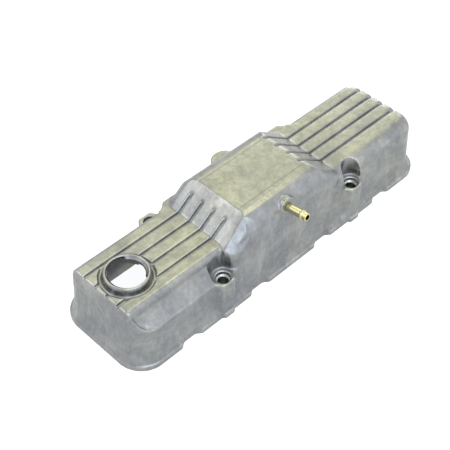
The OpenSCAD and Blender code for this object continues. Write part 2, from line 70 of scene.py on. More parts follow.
class CastingSettings(bpy.types.PropertyGroup):
    """Sizes of the cast skin."""

    net_pitch: bpy.props.FloatProperty(
        name="Net pitch", description="Spacing of the even net that is drawn over the casting",
        default=0.0007, min=0.0005, max=0.003, unit="LENGTH", precision=5,
    )
    ease_passes: bpy.props.IntProperty(
        name="Easing passes", description="How often each point moves towards its neighbours",
        default=12, min=0, max=40,
    )
    inner_share: bpy.props.FloatProperty(
        name="Inner corner share",
        description="Share of the way that a point in a corner or on a knife edge moves in a pass",
        default=0.5, min=0, max=1, subtype="FACTOR",
    )
    outer_share: bpy.props.FloatProperty(
        name="Outer corner share",
        description="Share of the way that a point on an eased outer corner moves in a pass",
        default=0.12, min=0, max=1, subtype="FACTOR",
    )
    line_depth: bpy.props.FloatProperty(
        name="Line depth", description="Depth of the fine lines that the mould's parts leave",
        default=0.00045, min=0, max=0.001, unit="LENGTH", precision=5,
    )
    line_width: bpy.props.FloatProperty(
        name="Line width", description="Width of the fine lines that the mould's parts leave",
        default=0.0018, min=0.001, max=0.004, unit="LENGTH", precision=5,
    )
    lip_z: bpy.props.FloatProperty(
        name="Lip line height", description="Height of the line between the flange and the wall's foot",
        default=0.0068, min=0.004, max=0.012, unit="LENGTH", precision=4,
    )
    roof_front: bpy.props.FloatProperty(
        name="Roof line, nipple side", description="Place of the line along the chamber's roof",
        default=-0.0282, min=-0.04, max=0, unit="LENGTH", precision=4,
    )
    roof_back: bpy.props.FloatProperty(
        name="Roof line, plain side", description="Place of the line along the chamber's roof",
        default=0.0228, min=0, max=0.04, unit="LENGTH", precision=4,
    )
    facet_level: bpy.props.FloatProperty(
        name="Facet height", description="Height of the near ramp's corner facet along its own normal",
        default=0.1000, min=0.098, max=0.104, unit="LENGTH", precision=4,
    )
    bolt_hole: bpy.props.FloatProperty(
        name="Bolt hole", description="Diameter of the four bolt holes",
        default=0.0104, min=0.008, max=0.012, unit="LENGTH", precision=4,
    )
    roof_strip_from: bpy.props.FloatProperty(
        name="Roof strip start", description="Where the near roof starts to round off, from the middle",
        default=0.031, min=0.025, max=0.036, unit="LENGTH", precision=4,
    )
    roof_strip: bpy.props.FloatProperty(
        name="Roof strip width", description="Width of the strip that rounds off",
        default=0.007, min=0.003, max=0.01, unit="LENGTH", precision=4,
    )
    roof_drop: bpy.props.FloatProperty(
        name="Roof strip drop", description="How far the roof's edge drops",
        default=0.0009, min=0, max=0.002, unit="LENGTH", precision=4,
    )
    soft_passes: bpy.props.IntProperty(
        name="Softening passes", description="How often each normal is averaged with its neighbours",
        default=5, min=0, max=20,
    )
    groove_pitch: bpy.props.FloatProperty(
        name="Groove pitch", description="Distance between neighbouring grooves",
        default=0.015, min=0.01, max=0.02, unit="LENGTH", precision=4,
    )
    groove_end_width: bpy.props.FloatProperty(
        name="Groove end width", description="Width of a groove where it runs over the far edge",
        default=0.006, min=0.003, max=0.01, unit="LENGTH", precision=4,
    )
    groove_end_depth: bpy.props.FloatProperty(
        name="Groove end depth", description="Depth of a groove where it runs over the far edge",
        default=0.0014, min=0, max=0.003, unit="LENGTH", precision=4,
    )
    pad_front: bpy.props.FloatProperty(
        name="Pad growth", description="Metal added in front of the bolt seats on the nipple side",
        default=0.0011, min=0, max=0.002, unit="LENGTH", precision=4,
    )
    bolts_x: bpy.props.FloatProperty(
        name="Bolts along", description="Distance between the bolts along the cover",
        default=0.180, min=0.1, max=0.3, unit="LENGTH",
    )
    bolts_y: bpy.props.FloatProperty(
        name="Bolts across", description="Distance between the bolts across the cover",
        default=0.099, min=0.05, max=0.2, unit="LENGTH",
    )
    seat_z: bpy.props.FloatProperty(
        name="Seat height", description="Height of the bolt seats above the gasket face",
        default=0.0415, min=0.02, max=0.08, unit="LENGTH", precision=4,
    )
    seat_r: bpy.props.FloatProperty(
        name="Seat radius", description="Outside of the ring that is cut under each bolt head",
        default=0.0077, min=0.005, max=0.012, unit="LENGTH", precision=4,
    )
    most_triangles: bpy.props.IntProperty(
        name="Most triangles", description="Triangles that the skin is thinned to",
        default=185000, min=20000, max=199000,
    )


class FinishSettings(bpy.types.PropertyGroup):
    """Colours of the metals, as linear values."""

    cast_face: bpy.props.FloatVectorProperty(
        name="Cast face", description="Bare cast aluminium where the skin is clean",
        default=(0.415, 0.418, 0.422), size=3, min=0, max=1, subtype="COLOR",
    )
    cast_warm: bpy.props.FloatVectorProperty(
        name="Cast warm clouds", description="Slightly yellow clouds in the cast skin",
        default=(0.450, 0.452, 0.408), size=3, min=0, max=1, subtype="COLOR",
    )
    cast_dull: bpy.props.FloatVectorProperty(
        name="Cast dull patches", description="Duller patches in the cast skin",
        default=(0.262, 0.265, 0.277), size=3, min=0, max=1, subtype="COLOR",
    )
    # Painted shade: the darker colour of the skin in grooves, inner corners and the roof's lines
    painted_hollow_shade: bpy.props.FloatVectorProperty(
        name="Hollows", description="Cast skin at the bottom of grooves and inner corners",
        default=(0.18, 0.186, 0.198), size=3, min=0, max=1, subtype="COLOR",
    )
    # Painted highlight: the lighter, warmer colour of the skin on convex edges and crests
    painted_ridge_highlight: bpy.props.FloatVectorProperty(
        name="Ridges", description="Cast skin where handling has polished its edges",
        default=(0.64, 0.64, 0.56), size=3, min=0, max=1, subtype="COLOR",
    )
    machined: bpy.props.FloatVectorProperty(
        name="Machined face", description="Aluminium where a tool has cut it flat",
        default=(0.50, 0.505, 0.49), size=3, min=0, max=1, subtype="COLOR",
    )
    brass: bpy.props.FloatVectorProperty(
        name="Brass", description="Colour of the breather nipple",
        default=(0.63, 0.59, 0.34), size=3, min=0, max=1, subtype="COLOR",
    )
    sheet: bpy.props.FloatVectorProperty(
        name="Sheet steel", description="Colour of the baffle",
        default=(0.42, 0.42, 0.43), size=3, min=0, max=1, subtype="COLOR",
    )
    zinc: bpy.props.FloatVectorProperty(
        name="Zinc plate", description="Colour of the baffle screws",
        default=(0.60, 0.61, 0.62), size=3, min=0, max=1, subtype="COLOR",
    )


class NippleSettings(bpy.types.PropertyGroup):
    """Sizes of the brass breather nipple."""

    tube: bpy.props.FloatProperty(
        name="Tube diameter", description="Outside of the tube",
        default=0.0082, min=0.006, max=0.012, unit="LENGTH",
    )
    bore: bpy.props.FloatProperty(
        name="Bore", description="Inside of the tube",
        default=0.0054, min=0.003, max=0.008, unit="LENGTH",
    )
    bead: bpy.props.FloatProperty(
        name="Bead diameter", description="Ring that holds the hose",
        default=0.0102, min=0.008, max=0.014, unit="LENGTH",
    )
    length: bpy.props.FloatProperty(
        name="Length", description="From the boss to the tip",
        default=0.024, min=0.015, max=0.035, unit="LENGTH",
    )
    grip: bpy.props.FloatProperty(
        name="Grip", description="Length pressed into the casting",
        default=0.014, min=0.008, max=0.02, unit="LENGTH",
    )


class StageSettings(bpy.types.PropertyGroup):
    """Camera, lamps and floor."""

    lens: bpy.props.FloatProperty(
        name="Lens", description="Focal length on a 36 mm sensor",
        default=86.32, min=20, max=300, unit="CAMERA",
    )
    key: bpy.props.FloatProperty(
        name="Key lamp",
        description="Brightness of the warm lamp behind and above, 1 being white",
        default=0.62, min=0, max=10,
    )
    fill: bpy.props.FloatProperty(
        name="Fill lamps",
        description="Brightness of the cooler lamps at the sides, 1 being white",
        default=1.0, min=0, max=10,
    )
    edge: bpy.props.FloatProperty(
        name="Edge lamps",
        description="Brightness of the small lamps that draw the edges, 1 being white",
        default=3.0, min=0, max=20,
    )
    glow: bpy.props.FloatProperty(
        name="Floor in the metal",
        description="How bright the floor looks in the metal, beyond its own light",
        default=0.46, min=0, max=1,
    )
    sky: bpy.props.FloatProperty(
        name="Room light", description="Strength of the pale room all round",
        default=0.95, min=0, max=3,
    )


# Surfaces worked out with numpy


def put_mesh(name, points, faces):
    """Puts points (n, 3) and faces (m, 3 or 4) into a new mesh object, whole arrays at a time."""
    mesh = bpy.data.meshes.new(name)
    sides = faces.shape[1]
    mesh.vertices.add(len(points))
    mesh.vertices.foreach_set("co", points.astype(np.float32).ravel())
    mesh.loops.add(faces.size)
    mesh.loops.foreach_set("vertex_index", faces.astype(np.int32).ravel())
    mesh.polygons.add(len(faces))
    mesh.polygons.foreach_set("loop_start", np.arange(0, faces.size, sides, dtype=np.int32))
    mesh.update(calc_edges=True)
    mesh.validate()
    obj = bpy.data.objects.new(name, mesh)
    bpy.context.scene.collection.objects.link(obj)
    return obj


def curve(t, a, b, c):
    """The curve (1-t)^2 A + 2t(1-t) B + t^2 C, which leaves A towards B and reaches C from B."""
    return (1 - t) ** 2 * a + 2 * t * (1 - t) * b + t**2 * c


def eased_profile(corners, radii, steps):
    """Rounds each corner of a closed outline (n, 2).

    The corner B between neighbours A and C becomes the curve from P to Q, where P and Q lie on
    BA and BC at the corner's radius from B, or at 45 hundredths of a side that is short.
    """
    b = np.asarray(corners, float)
    radii = np.asarray(radii, float)

    def towards(other):
        side = other - b
        reach = np.linalg.norm(side, axis=1)
        return b + side / reach[:, None] * np.minimum(radii, 0.45 * reach)[:, None]

    p, q = towards(np.roll(b, 1, 0))[:, None], towards(np.roll(b, -1, 0))[:, None]
    t = np.linspace(0, 1, steps)[None, :, None]
    return curve(t, p, b[:, None], q).reshape(-1, 2)


def lathe(profile, steps):
    """Turns a closed outline of (radius, height) pairs about Z.

    Point (i, j) is (r_i cos a_j, r_i sin a_j, h_i), with the angles a_j even over a full turn,
    and each face joins (i, j), (i+1, j), (i+1, j+1) and (i, j+1), both counted round.
    """
    n = len(profile)
    angle = np.linspace(0, 2 * math.pi, steps, endpoint=False)
    r, h = profile[:, 0][:, None], profile[:, 1][:, None]
    points = np.stack([r * np.cos(angle), r * np.sin(angle), np.broadcast_to(h, (n, steps))], -1)
    i, j = np.meshgrid(np.arange(n), np.arange(steps), indexing="ij")
    i2, j2 = (i + 1) % n, (j + 1) % steps
    faces = np.stack([i * steps + j, i * steps + j2, i2 * steps + j2, i2 * steps + j], -1)
    return points.reshape(-1, 3), faces.reshape(-1, 4)


def facing_out(obj):
    """Turns every face of a closed mesh outwards."""
    work = bmesh.new()
    work.from_mesh(obj.data)
    bmesh.ops.recalc_face_normals(work, faces=work.faces)
    work.to_mesh(obj.data)
    work.free()


def through(mesh, kind, **settings):
    """A new mesh: the given one as one modifier with these settings leaves it."""
    carrier = bpy.data.objects.new("carrier", mesh)
    bpy.context.scene.collection.objects.link(carrier)
    modifier = carrier.modifiers.new("modifier", kind)
    for name, value in settings.items():
        setattr(modifier, name, value)
    graph = bpy.context.evaluated_depsgraph_get()
    made = bpy.data.meshes.new_from_object(carrier.evaluated_get(graph), depsgraph=graph)
    bpy.data.objects.remove(carrier)
    return made


def neighbour_mean(values, edges, count):
    """Mean of each point's neighbours: the sum over its edges divided by their number."""
    a, b = edges[:, 0], edges[:, 1]
    number = np.maximum(count, 1)
    columns = [
        (np.bincount(a, values[b, k], len(values)) + np.bincount(b, values[a, k], len(values)))
        / number
        for k in range(values.shape[1])
    ]
    return np.stack(columns, 1)


def spread(values, edges, count):
    """One pass of smoothing: 0.4 of each point's own value and 0.6 of its neighbours' mean."""
    return 0.4 * values + 0.6 * neighbour_mean(values, edges, count)


def read_points(mesh):
    """Points (n, 3), edges (m, 2) and point normals (n, 3) of a mesh."""
    points = np.empty(len(mesh.vertices) * 3, np.float32)
    mesh.vertices.foreach_get("co", points)
    edges = np.empty(len(mesh.edges) * 2, np.int32)
    mesh.edges.foreach_get("vertices", edges)
    normals = np.empty(len(mesh.vertices) * 3, np.float32)
    mesh.vertex_normals.foreach_get("vector", normals)
    return points.reshape(-1, 3).astype(float), edges.reshape(-1, 2), normals.reshape(-1, 3)


def put_points(mesh, points):
    """Moves the points of a mesh to new places (n, 3)."""
    mesh.vertices.foreach_set("co", points.astype(np.float32).ravel())
    mesh.update()


def put_values(mesh, name, values):
    """Keeps one number (n,) or one vector (n, 3) for each point of a mesh under a name."""
    values = np.asarray(values, np.float32)
    kind, key = ("FLOAT", "value") if values.ndim == 1 else ("FLOAT_VECTOR", "vector")
    mesh.attributes.new(name, kind, "POINT").data.foreach_set(key, values.ravel())


def take_values(mesh, name):
    """The vectors (n, 3) that were kept under a name, which the mesh then loses."""
    values = np.empty(len(mesh.vertices) * 3, np.float32)
    mesh.attributes[name].data.foreach_get("vector", values)
    mesh.attributes.remove(mesh.attributes[name])
    return values.reshape(-1, 3)


def ease(mesh, sizes):
    """Fills inner corners, rounds knife edges and keeps eased outer corners.

    In each pass a point moves by a share of the way d to its neighbours' mean. The share is the
    inner one where d points out of the metal. Elsewhere it rises from the outer share to the
    inner one as |d| / pitch goes from 0.1 to 0.3, so that only sharp edges are cut back.
    Points on the gasket face keep their height, so that the face stays flat.
    """
    inner, outer = sizes.inner_share, sizes.outer_share
    blunt, rise, passes_a_reading, gasket_face = 0.1, 0.2, 3, 0.05 * MM
    points, edges, _ = read_points(mesh)
    count = np.bincount(edges.ravel(), minlength=len(points))
    on_gasket = points[:, 2] < gasket_face
    for step in range(sizes.ease_passes):
        way = neighbour_mean(points, edges, count) - points
        if step % passes_a_reading == 0:
            put_points(mesh, points)
            normals = read_points(mesh)[2]
        outward = np.einsum("ij,ij->i", way, normals) > 0
        reach = np.linalg.norm(way, axis=1) / sizes.net_pitch
        sharp = np.clip((reach - blunt) / rise, 0, 1)
        way *= np.where(outward, inner, outer + (inner - outer) * sharp)[:, None]
        way[on_gasket, 2] = 0
        points = points + way
    put_points(mesh, points)


def thicken_pads(points, sizes):
    """Moves the front of the two columns on the nipple side out by a little.

    The points moved lie outside the counterbore, near the column's middle and in front of the
    bolt. The move rises as the square of the way from the bolt's own y to the column's front.
    """
    counterbore, half_width, front, rise = 7.4 * MM, 9 * MM, 8.2 * MM, 7 * MM
    x, y, _ = points.T
    beside = np.abs(np.abs(x) - sizes.bolts_x / 2)
    ahead = -sizes.bolts_y / 2 - y
    column = (np.hypot(beside, ahead) > counterbore) & (beside < half_width) & (ahead < front)
    share = np.clip(ahead / rise, 0, 1)
    moved = points.copy()
    moved[:, 1] -= np.where(column, sizes.pad_front * share**2, 0)
    return moved


def scribe(points, normals, sizes):
    """Presses the fine lines that a mould's parts leave: along both edges of the chamber's roof,
    and all round between the flange and the foot of the wall.

    A point at the distance d from a line of width w moves in by depth (1 - 2 d / w), if above 0.
    The second result is that share, on the roof's lines alone. The lip's line is drawn where the
    skin faces away from the cover's middle and not up or down.
    """
    roof_z, roof_near, roof_far = 90 * MM, -51 * MM, 42 * MM
    half_length, half_width, outward, upward = 0.2, 0.06, 0.2, 0.9
    x, y, z = points.T
    roof = (z > roof_z) & (x > roof_near) & (x < roof_far)
    to_roof = np.minimum(np.abs(y - sizes.roof_front), np.abs(y - sizes.roof_back))
    outside = (normals[:, 0] * x / half_length + normals[:, 1] * y / half_width) > outward
    lip = outside & (np.abs(normals[:, 2]) < upward)
    away = np.minimum(np.where(roof, to_roof, 1), np.where(lip, np.abs(z - sizes.lip_z), 1))
    share = np.clip(1 - 2 * away / sizes.line_width, 0, 1)
    return points - sizes.line_depth * share[:, None] * normals, np.where(roof, share, 0)


def flatten_ramp_corner(points, sizes):
    """Flattens the corner between the near ramp and the chamber's round side into a facet.

    n is the middle direction between the two faces' normals. A point whose height along n is above
    the facet's height h moves back along n by 0.92 of the rest. The facet's height is the set one
    at the ramp's top and rises towards the ramp's foot, so the facet is widest at the top.
    """
    foot_x, end_x, inner_y, low_z = -82 * MM, -38 * MM, -26 * MM, 56 * MM
    top_x, slope, most, share = -50 * MM, 0.13, 2.6 * MM, 0.92
    middle = np.array([-0.47, -0.68, 0.56])
    middle /= np.linalg.norm(middle)
    x, y, z = points.T
    level = sizes.facet_level + slope * (top_x - x)
    near = (x > foot_x) & (x < end_x) & (y < inner_y) & (z > low_z)
    over = np.where(near, np.clip(points @ middle - level, 0, most), 0)
    return points - share * over[:, None] * middle


def round_roof_edge(points, sizes):
    """Drops the outer strip of the near roof towards its edge on the nipple side.

    A point at the distance d from the inner side of the strip of width w drops by
    drop (d / w)^2, times a share that fades over 8 mm at both ends of the roof.
    """
    near_x, far_x, fade, low_z, rise = -192 * MM, -82 * MM, 8 * MM, 58 * MM, 4 * MM
    x, y, z = points.T
    along = np.clip((x - near_x) / fade, 0, 1) * np.clip((far_x - x) / fade, 0, 1)
    across = np.clip((-sizes.roof_strip_from - y) / sizes.roof_strip, 0, 1)
    height = np.clip((z - low_z) / rise, 0, 1)
    moved = points.copy()
    moved[:, 2] -= sizes.roof_drop * across**2 * along * height
    return moved


def run_out_grooves(points, normals, sizes):
    """Lets the four grooves run over the round far edge of the roof.

    Within half a width w of a groove's middle, at the distance d, a point moves in by
    depth (1 - (2 d / w)^2), times a share that rises over the edge and falls down the end wall.
    """
    start_x, low_z, fade, facing = 0.176, 0.052, 0.008, 0.3
    inwards = np.array([-0.6, 0, -0.8])
    x, y, z = points.T
    pitch = sizes.groove_pitch
    away = np.abs((y / pitch) % 1 - 0.5) * pitch
    along = np.clip((x - start_x) / fade, 0, 1) * np.clip((z - low_z) / fade, 0, 1)
    outer = (normals[:, 0] + normals[:, 2] > facing) & (np.abs(y) < 2 * pitch)
    shape = np.clip(1 - (2 * away / sizes.groove_end_width) ** 2, 0, 1)
    deep = sizes.groove_end_depth * shape * along * outer
    return points + deep[:, None] * inwards


def closed_sweep(name, grid):
    """A solid through a grid (n, m, 3) of m outlines of n points each. Neighbouring outlines are
    joined by triangles, and each end is closed by a fan about the mean of its outline."""
    n, m = grid.shape[:2]
    points = np.vstack([grid.reshape(-1, 3), grid[:, 0].mean(0), grid[:, -1].mean(0)])
    i, j = (part.ravel() for part in np.meshgrid(np.arange(n), np.arange(m - 1), indexing="ij"))
    a, b = i * m + j, (i + 1) % n * m + j
    first = np.arange(n) * m
    last = first + m - 1
    faces = np.vstack([
        np.stack([a, b, b + 1], 1), np.stack([a, b + 1, a + 1], 1),
        np.stack([first, np.full(n, n * m), np.roll(first, -1)], 1),
        np.stack([last, np.roll(last, -1), np.full(n, n * m + 1)], 1),
    ])
    solid = put_mesh(name, points, faces)
    facing_out(solid)
    return solid


def corner_cutter():
    """What the round far corner on the plain side loses above its shoulder.

    An outline in radius and height is turned about an upright axis at the corner. Its lower
    inner corner is the shoulder's own fillet.
    """
    low, high, inner, reach, fillet = 46 * MM, 80 * MM, 12.95 * MM, 40 * MM, 7 * MM
    axis_x, axis_y, lean = 179.2 * MM, 26 * MM, 2 * MM
    start, stop = math.radians(-8), math.radians(100)
    turn = np.linspace(math.pi, 1.5 * math.pi, 9)
    radius, height = np.vstack([
        [(inner - lean, high)],
        np.stack([inner + fillet + fillet * np.cos(turn), low + fillet + fillet * np.sin(turn)], 1),
        [(reach, low), (reach, high)],
    ]).T[:, :, None]
    angle = np.linspace(start, stop, 24)[None]
    x, y = axis_x + radius * np.cos(angle), axis_y + radius * np.sin(angle)
    return closed_sweep("corner_cutter", np.stack([x, y, height + 0 * angle], -1))


# The steep upper walls that lean out: the end, the side, and where the corner starts to turn
LEANING_WALLS = ((-1, -1, 0.1745), (-1, 1, 0.1745), (1, 1, 0.160))


def shoulder_fill(end, side, turn_x):
    """The lean of a steep upper wall, from under the roof's edge out to the shoulder's edge.

    The foot lies on the wall, at y = 28.5 mm + 22.4 mm sqrt(1 - c^2), where c is how far x lies
    past turn_x in units of that radius, or 0 before it. So the face runs out round the corner.
    Its outline is a curve from the top to the foot. The curve's middle point makes it slightly
    hollow, and the outline is closed inside the metal.
    """
    top_y, top_z, middle_z, foot_z, under_z = 38.1 * MM, 63 * MM, 50.5 * MM, 46.2 * MM, 44 * MM
    inside_y, corner_y, radius, start_x = 36.5 * MM, 28.5 * MM, 22.4 * MM, 101 * MM
    part_of_turn, thinnest, middle_share = 0.9, 0.5 * MM, 0.36
    x = np.linspace(start_x, turn_x + part_of_turn * radius, 40)
    foot = corner_y + radius * np.sqrt(1 - np.clip((x - turn_x) / radius, 0, 1) ** 2)
    foot = np.maximum(foot, top_y + thinnest)
    t = np.linspace(0, 1, 12)[:, None]
    y = curve(t, top_y, top_y + middle_share * (foot - top_y), foot)
    z = curve(t, top_z, middle_z, foot_z) + 0 * x
    inside = np.full((1, len(x)), inside_y)
    y = np.vstack([inside, y, foot[None], inside])
    z = np.vstack([np.full((1, len(x)), top_z), z, np.full((2, len(x)), under_z)])
    return closed_sweep("shoulder_fill", np.stack([end * x + 0 * y, side * y, z], -1))


def relief(mesh, passes):
    """How deep each point lies in a hollow, in metres: the way to a widely smoothed skin, taken
    along the point's normal. It is above 0 in a hollow and below 0 on a ridge."""
    points, edges, normals = read_points(mesh)
    count = np.bincount(edges.ravel(), minlength=len(points))
    wide = points
    for _ in range(passes):
        wide = spread(wide, edges, count)
    return np.einsum("ij,ij->i", wide - points, normals)


def soft_normals(mesh, sizes):
    """The normals that light the skin: each is spread over its neighbours, because a sand mould
    leaves no crisp edge, and is left alone in the counterbores, which a tool has cut."""
    points, edges, normals = read_points(mesh)
    count = np.bincount(edges.ravel(), minlength=len(points))
    crisp = near_seats(points, sizes)[:, None]
    soft = normals
    for _ in range(sizes.soft_passes):
        soft = np.where(crisp, normals, spread(soft, edges, count))
    return soft


def off_bolts(points, sizes):
    """How far each point lies from the axis of the nearest bolt."""
    x, y, _ = points.T
    return np.hypot(np.abs(x) - sizes.bolts_x / 2, np.abs(y) - sizes.bolts_y / 2)


def near_seats(points, sizes):
    """1 in each counterbore, from its seat to its mouth."""
    under_seat, over_seat = 0.5 * MM, 5.2 * MM
    z = points[:, 2]
    level = (z > sizes.seat_z - under_seat) & (z < sizes.seat_z + over_seat)
    return (off_bolts(points, sizes) < sizes.seat_r) & level


def machined(points, sizes):
    """1 where a tool has cut the casting: on the gasket face, which is at no height, in each
    counterbore, and in the bolt holes, which are narrower than any other place near a bolt."""
    face, allowance = 0.2 * MM, 0.4 * MM
    z = points[:, 2]
    bored = (off_bolts(points, sizes) < sizes.bolt_hole / 2 + allowance) & (z < sizes.seat_z)
    return (z < face) | near_seats(points, sizes) | bored


def whole_casting(node, sizes):
    """The casting's own mesh, merged, with thicker pads and a round far corner, and the leaning
    walls as solids that overlap it. The even net later runs round all of them."""
    doubles_within = 0.01 * MM
    mesh = node.data.copy()
    work = bmesh.new()
    work.from_mesh(mesh)
    bmesh.ops.remove_doubles(work, verts=work.verts, dist=doubles_within)
    work.to_mesh(mesh)
    work.clear()
    put_points(mesh, thicken_pads(read_points(mesh)[0], sizes))
    cutter = corner_cutter()
    work.from_mesh(through(mesh, "BOOLEAN", operation="DIFFERENCE", solver="EXACT", object=cutter))
    bpy.data.objects.remove(cutter)
    for end, side, turn_x in LEANING_WALLS:
        fill = shoulder_fill(end, side, turn_x)
        work.from_mesh(fill.data)
        bpy.data.objects.remove(fill)
    work.to_mesh(mesh)
    work.free()
    return mesh


def shape_net(mesh, sizes):
    """Eases the even net and gives it its own small shapes. Each point then keeps "hollow", which
    is its relief in mm and more on the roof's lines, and which sets the skin's painted shade and
    painted highlights, and "bend", the normal that lights it."""
    wide_passes, line_painted_shade = 40, 2
    ease(mesh, sizes)
    points, _, normals = read_points(mesh)
    points = flatten_ramp_corner(run_out_grooves(points, normals, sizes), sizes)
    put_points(mesh, round_roof_edge(points, sizes))
    points, _, normals = read_points(mesh)
    points, line = scribe(points, normals, sizes)
    put_points(mesh, points)
    # The roof's lines add to "hollow", so the material paints shade in them
    put_values(mesh, "hollow", relief(mesh, wide_passes) / MM + line_painted_shade * line)
    put_values(mesh, "bend", soft_normals(mesh, sizes))


# Materials


def fill_in(node, values):
    """Puts plain values straight into a node's sockets."""
    for name, value in values.items():
        node.inputs[name].default_value = value


def noise(nodes, links, vector, scale, detail, roughness, twist=0.0, stretch=None):
    """A noise texture on a vector, with the vector stretched first if asked."""
    if stretch is not None:
        mapping = nodes.new("ShaderNodeMapping")
        fill_in(mapping, {"Scale": stretch})
        links.new(vector, mapping.inputs["Vector"])
        vector = mapping.outputs["Vector"]
    texture = nodes.new("ShaderNodeTexNoise")
    fill_in(texture, {
        "Scale": scale, "Detail": detail, "Roughness": roughness, "Distortion": twist,
    })
    links.new(vector, texture.inputs["Vector"])
    return texture.outputs["Fac"]


def ramp(nodes, links, value, come, go=(0.0, 1.0)):
    """Maps a value from one range to another, held at both ends."""
    node = nodes.new("ShaderNodeMapRange")
    node.clamp = True
    fill_in(node, {"From Min": come[0], "From Max": come[1], "To Min": go[0], "To Max": go[1]})
    links.new(value, node.inputs["Value"])
    return node.outputs["Result"]


def combine(nodes, links, operation, a, b):
    """One Math node on two values; a number goes straight into the socket."""
    node = nodes.new("ShaderNodeMath")
    node.operation = operation
    for index, value in enumerate((a, b)):
        if isinstance(value, (int, float)):
            node.inputs[index].default_value = value
        else:
            links.new(value, node.inputs[index])
    return node.outputs[0]


def blend(nodes, links, a, share_a, b, share_b):
    """The sum of two values, each times its share."""
    parts = [combine(nodes, links, "MULTIPLY", *part) for part in ((a, share_a), (b, share_b))]
    return combine(nodes, links, "ADD", *parts)


def mix_colour(nodes, links, share, a, b):
    """Mixes two colours, each a triple or a socket, by a share from 0 to 1."""
    node = nodes.new("ShaderNodeMix")
    node.data_type = "RGBA"
    links.new(share, node.inputs[0])
    for index, value in ((6, a), (7, b)):
        if isinstance(value, bpy.types.NodeSocket):
            links.new(value, node.inputs[index])
        else:
            node.inputs[index].default_value = (*value, 1)
    return node.outputs[2]


def bump(nodes, links, shader, height, strength, distance):
    """Makes a height bend the light on a shader, at most by a distance in metres."""
    node = nodes.new("ShaderNodeBump")
    fill_in(node, {"Strength": strength, "Distance": distance})
    links.new(height, node.inputs["Height"])
    links.new(node.outputs["Normal"], shader.inputs["Normal"])


def cast_skin_group():
    """The uneven skin that metal takes from a mould: broad clouds, soft patches, smudges that
    run down the walls, and a fine grain over shallow dents."""
    name = "Cast skin"
    if name in bpy.data.node_groups:
        return bpy.data.node_groups[name]
    group = bpy.data.node_groups.new(name, "ShaderNodeTree")
    group.interface.new_socket(name="Vector", in_out="INPUT", socket_type="NodeSocketVector")
    for output in ("Clouds", "Patches", "Smudges", "Height"):
        group.interface.new_socket(name=output, in_out="OUTPUT", socket_type="NodeSocketFloat")
    nodes, links = group.nodes, group.links
    vector = nodes.new("NodeGroupInput").outputs["Vector"]
    out = nodes.new("NodeGroupOutput")
    clouds = noise(nodes, links, vector, scale=17, detail=2, roughness=0.5, twist=0.8)
    links.new(ramp(nodes, links, clouds, (0.36, 0.64)), out.inputs["Clouds"])
    broad = noise(nodes, links, vector, scale=34, detail=3, roughness=0.6, twist=0.5)
    fine = noise(nodes, links, vector, scale=240, detail=4, roughness=0.65)
    patches = blend(nodes, links, broad, 0.6, fine, 0.4)
    links.new(ramp(nodes, links, patches, (0.37, 0.63)), out.inputs["Patches"])
    smudges = noise(nodes, links, vector, scale=1, detail=4, roughness=0.62, twist=1.2,
                    stretch=(75, 75, 24))
    links.new(ramp(nodes, links, smudges, (0.4, 0.7)), out.inputs["Smudges"])
    grain = noise(nodes, links, vector, scale=900, detail=2, roughness=0.5)
    dents = noise(nodes, links, vector, scale=60, detail=2, roughness=0.5)
    links.new(blend(nodes, links, grain, 0.25, dents, 0.5), out.inputs["Height"])
    return group


def metal(name, colour, roughness):
    """A plain metal; returns the material, its nodes, its links and its shader."""
    material = bpy.data.materials.new(name)
    material.use_nodes = True
    nodes, links = material.node_tree.nodes, material.node_tree.links
    shader = nodes["Principled BSDF"]
    fill_in(shader, {"Base Color": (*colour, 1), "Metallic": 1, "Roughness": roughness})
    return material, nodes, links, shader


def cast_aluminium(finish):
    """Bare cast aluminium: clouds and patches, smudges, painted shade where the skin is sunk, painted
    highlights where it stands out, cut faces.

    The painted shade comes in as "hollow" goes from 0.15 to 1.2 and the painted highlights as it
    goes from -0.2 to -0.9. The cut faces lie where "cut" is 1.
    """
    material, nodes, links, shader = metal("cast_aluminium", finish.cast_face, roughness=0.42)
    where = nodes.new("ShaderNodeTexCoord").outputs["Object"]
    skin = nodes.new("ShaderNodeGroup")
    skin.node_tree = cast_skin_group()
    links.new(where, skin.inputs["Vector"])

    def mark(name):
        node = nodes.new("ShaderNodeAttribute")
        node.attribute_name = name
        return node.outputs["Fac"]

    clouds, patches, smudges = (skin.outputs[name] for name in ("Clouds", "Patches", "Smudges"))
    dirt_share = 0.75
    dirt = tuple(dirt_share * part for part in finish.cast_dull)
    colour = mix_colour(nodes, links, clouds, finish.cast_face, finish.cast_warm)
    colour = mix_colour(nodes, links, patches, finish.cast_dull, colour)
    dirty = ramp(nodes, links, smudges, (0, 1), (0.0, 0.4))
    colour = mix_colour(nodes, links, dirty, colour, dirt)
    # Painted shade: darker colour in grooves, inner corners and the roof's lines
    deep = ramp(nodes, links, mark("hollow"), (0.15, 1.2), (0.0, 0.6))
    colour = mix_colour(nodes, links, deep, colour, finish.painted_hollow_shade)
    # Painted highlight: lighter, warmer colour on convex edges and crests
    high = ramp(nodes, links, mark("hollow"), (-0.9, -0.2), (0.28, 0.0))
    colour = mix_colour(nodes, links, high, colour, finish.painted_ridge_highlight)
    colour = mix_colour(nodes, links, mark("cut"), colour, finish.machined)
    links.new(colour, shader.inputs["Base Color"])
    dullness = ramp(nodes, links, smudges, (0, 1), (0.26, 0.36))
    links.new(dullness, shader.inputs["Roughness"])
    bump(nodes, links, shader, skin.outputs["Height"], strength=0.35, distance=0.0004)
    return material


